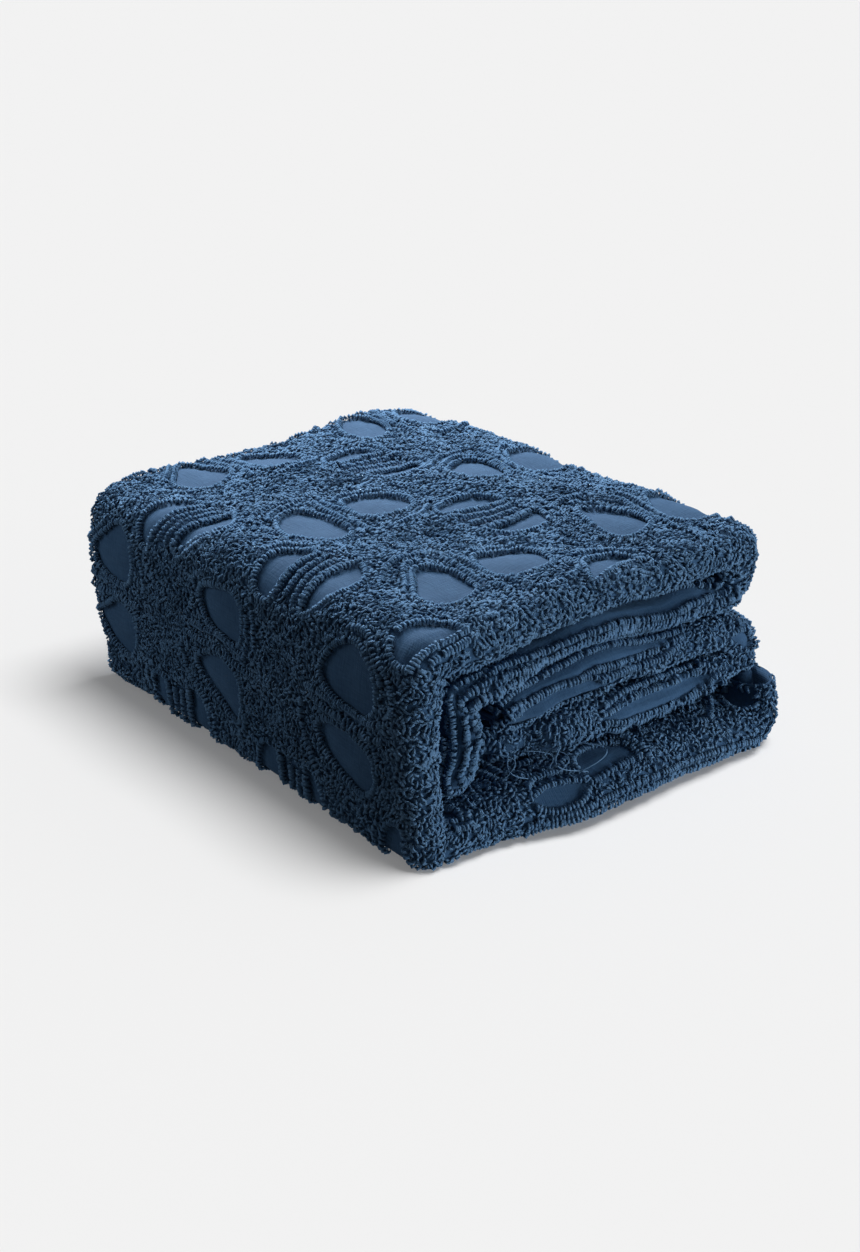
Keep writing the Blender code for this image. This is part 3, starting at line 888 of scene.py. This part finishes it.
# One mesh for each region. A tuft is in the first region whose test it meets.
regions = {
    "back": ~outside & (tuft_place > CURLED_END) & (tuft_b > tuft_nose + 0.5 * tuft_ply),
    "right_folds": ~outside & (np.abs(tuft_b) > tuft_nose + 0.04),
    "front_outer": ~outside & (tuft_place < THIRD),
    "front_inner": ~outside,
    "left_side": tuft_place < UPPER_LEFT,
    "right_side": tuft_place > TOP_RIGHT - 0.1,
    "top_near": tuft_b < TOP_NEAR,
    "top_middle": tuft_b < TOP_MIDDLE,
    "top_far": np.ones(count, bool),
}
region = np.select(list(regions.values()), list(range(len(regions))))
yarn = soft_yarn()


def dyed(piece, tip, shade):
    """A piece in soft yarn, with how near the tip each point is, which sets the painted shade at the root, and its
    own shade of blue.
    """
    for attribute, values in (("tip", tip), ("shade", shade)):
        piece.data.attributes.new(attribute, "FLOAT", "POINT").data.foreach_set("value", values.astype(np.float32))
    piece.data.materials.append(yarn)
    return piece


loop, loop_measure = loop_faces()
tuft_pieces = []
for number, name in enumerate(regions):
    chosen = tufts[region == number]
    points, tip = loop_points(chosen)
    faces = (np.arange(len(chosen)) * LOOP_POINTS)[:, None, None] + loop
    measure = np.broadcast_to(loop_measure, (len(chosen), *loop_measure.shape))
    piece = cloth_object("tufts_" + name, points.reshape(-1, 3), faces.reshape(-1, 3), measure)
    shade = np.repeat(random.uniform(0, 1, len(chosen)), LOOP_POINTS)
    tuft_pieces.append(dyed(piece, tip.ravel(), shade))

# A few loose threads of the same cotton hang from the third layer's nose, down over the lowest layer. Each is one
# thin tube that bends to its own side.
THREAD = 0.5 * MM  # half thickness
THREADS = ((26, 14, 9), (21, -11, 12), (30, 20, 10), (17, 9, 14), (24, -16, 11), (15, 13, 13))
HANG, BEND, REACH = MM * np.array(THREADS).T
HUNG_FROM, HUNG_AT = (18.3, 19.9), (-4, -9)  # first and last place, and millimetres from the nose's tip
OFF_NOSE, OUTWARD = 0.007, 0.014  # how far a thread starts off the nose, and comes out on its way down
LOWEST = 0.006
RINGS_DOWN, THREAD_SIDES = 18, 4


def hanging_threads():
    """The points and faces of the threads. A share t of the way down a thread, it is t^1.4 of its length lower,
    its reach times sin(pi t) further out, and its bend times sin(1.6 pi t) to the side."""
    places, offsets = np.linspace(*HUNG_FROM, len(HANG)), np.linspace(*HUNG_AT, len(HANG)) * MM
    t = np.linspace(0, 1, RINGS_DOWN)
    start = cloth_middle(places, run_at(places, offsets))
    x = start[:, :1] + BEND[:, None] * np.sin(1.6 * np.pi * t)
    y = start[:, 1:2] - OFF_NOSE - OUTWARD * t - REACH[:, None] * np.sin(np.pi * t)
    z = np.maximum(start[:, 2:] - HANG[:, None] * t**1.4, LOWEST)
    line = np.stack([x, y, z], axis=-1)
    ahead = unit(np.gradient(line, axis=1))
    aside = unit(np.cross(ahead, (0.0, 1.0, 0.2)))
    angle = 2 * np.pi * np.arange(THREAD_SIDES) / THREAD_SIDES
    spread = aside[:, :, None] * np.cos(angle)[:, None]
    spread = spread + np.cross(ahead, aside)[:, :, None] * np.sin(angle)[:, None]
    index = np.arange(line[..., 0].size * THREAD_SIDES).reshape(len(HANG), RINGS_DOWN, THREAD_SIDES)
    turned = np.roll(index, -1, axis=2)
    walls = np.stack([index[:, :-1], turned[:, :-1], turned[:, 1:], index[:, 1:]], axis=-1).reshape(-1, 4)
    faces = np.concatenate([walls, index[:, 0, ::-1], index[:, -1]])
    return (line[:, :, None] + THREAD * spread).reshape(-1, 3), faces


points, faces = hanging_threads()
threads = cloth_object("loose_threads", points, faces, np.full((faces.size, 2), 0.25))
tuft_pieces.append(dyed(threads, np.ones(len(points)), np.ones(len(points))))

# The stage: a plain pale floor that runs on into a plain pale background. Only the floor is lit by one large soft
# light high on the front right, and by an even one without shadows, which keeps the bundle's shadow soft.
STAGE_WHITE = 0.887
FLOOR_COLOUR = (0.80, 0.80, 0.80, 1)
FAR_OFF = 14  # where the floor ends, each way
floor_mesh = bpy.data.meshes.new("floor")
corners = [(x * FAR_OFF, y * FAR_OFF, 0) for x, y in ((-1, -1), (1, -1), (1, 1), (-1, 1))]
floor_mesh.from_pydata(corners, [], [(0, 1, 2, 3)])
floor = bpy.data.objects.new("floor", floor_mesh)
bpy.context.scene.collection.objects.link(floor)
paper = bpy.data.materials.new("pale_paper")
paper.use_nodes = True
for name, value in (("Base Color", FLOOR_COLOUR), ("Roughness", 1.0), ("Specular IOR Level", 0.0)):
    paper.node_tree.nodes["Principled BSDF"].inputs[name].default_value = value
floor_mesh.materials.append(paper)

AMBIENT, GLOW = 0.050, 0.20
SHADOW_LIFT = 0.20  # of light that reaches the floor everywhere
GLOW_FROM = Vector((0.80, -0.45, 0.30)).normalized()
SKY = AMBIENT + GLOW * (0.25 + GLOW_FROM.z / 3 + (1 + GLOW_FROM.z**2) / 16)  # on a level floor
SUN_FROM, STRAIGHT_DOWN = (0.28, -0.25, 1.0), (0, 0, 1)
BUNDLE_TOP = Vector((0, 0, 0.19))


def light_up(name, kind, energy, source, reached, **settings):
    """A light that reaches one collection only. Its source is a direction, or for an area light its place, from
    which it shines at the bundle's top."""
    source = Vector(source)
    light = bpy.data.objects.new(name, bpy.data.lights.new(name, kind))
    light.data.energy = energy
    for setting, value in settings.items():
        setattr(light.data, setting, value)
    if kind == "AREA":
        light.location, light.visible_camera = source, False
        source = source - BUNDLE_TOP
    light.rotation_euler = source.to_track_quat("Z", "Y").to_euler()
    light.light_linking.receiver_collection = reached
    bpy.context.scene.collection.objects.link(light)


floor.visible_diffuse = False
floor.visible_shadow = False
paper_only = bpy.data.collections.new("paper_only")
paper_only.objects.link(floor)
sun_energy = math.pi * (STAGE_WHITE / FLOOR_COLOUR[0] - SKY - SHADOW_LIFT) / Vector(SUN_FROM).normalized().z
light_up("key_light", "SUN", sun_energy, SUN_FROM, paper_only, angle=math.radians(33))
light_up("shadow_lift", "SUN", math.pi * SHADOW_LIFT, STRAIGHT_DOWN, paper_only, use_shadow=False)

# Five soft lights reach only the bundle: a wide one overhead, a little behind it, a low one from the front right,
# a near one over its far right corner, and two faint near ones, at its far left and low down at its front right.
bundle_only = bpy.data.collections.new("bundle_only")
for piece in [cloth, *tuft_pieces]:
    bundle_only.objects.link(piece)
for name, strength, spread, source in (
    ("overhead_light", 0.90, 40, (0.30, 0.66, 1.0)),
    ("front_light", 0.78, 42, (0.54, -1.0, 0.08)),
):
    light_up(name, "SUN", math.pi * strength, source, bundle_only, angle=math.radians(spread))
for name, power, source in (
    ("far_light", 17.0, (0.40, 0.76, 0.85)),
    ("far_left_light", 1.5, (-0.72, 0.50, 0.38)),
    ("low_light", 0.8, (0.42, -0.60, 0.05)),
):
    light_up(name, "AREA", power, source, bundle_only, size=0.4)

# The sky is a faint even light with a soft glow from the right. The camera sees plain pale paper in its place.
world = bpy.data.worlds.new("studio")
bpy.context.scene.world = world
world.use_nodes = True
air = Nodes(world.node_tree)
way = air.node("ShaderNodeTexCoord", {}, {}, output="Generated")
facing = air.node("ShaderNodeVectorMath", {"operation": "DOT_PRODUCT"}, {0: way, 1: GLOW_FROM}, output="Value")
near_glow = facing * 0.5 + 0.5
brightness = near_glow * near_glow * GLOW + AMBIENT
sky = air.node("ShaderNodeBackground", {}, {"Color": (1, 1, 1, 1), "Strength": brightness})
backdrop = air.node("ShaderNodeBackground", {}, {"Color": (STAGE_WHITE, STAGE_WHITE, STAGE_WHITE, 1)})
by_camera = air.node("ShaderNodeLightPath", {}, {}, output="Is Camera Ray")
mixed = air.node("ShaderNodeMixShader", {}, {0: by_camera, 1: sky, 2: backdrop})
air.feed(world.node_tree.nodes["World Output"].inputs["Surface"], mixed)

# The camera stands off the front left corner and looks down on the bundle, as the photograph's did.
LOOK_DOWN, HEADING = 23.570, -39.057  # in degrees
camera = bpy.data.objects.new("camera", bpy.data.cameras.new("camera"))
camera.data.lens = 49.56
camera.location = (-0.86959, -1.07247, 0.68013)
camera.rotation_euler = (math.radians(90 - LOOK_DOWN), 0, math.radians(HEADING))
bpy.context.scene.collection.objects.link(camera)
bpy.context.scene.camera = camera
bpy.context.scene.view_settings.view_transform = "Standard"
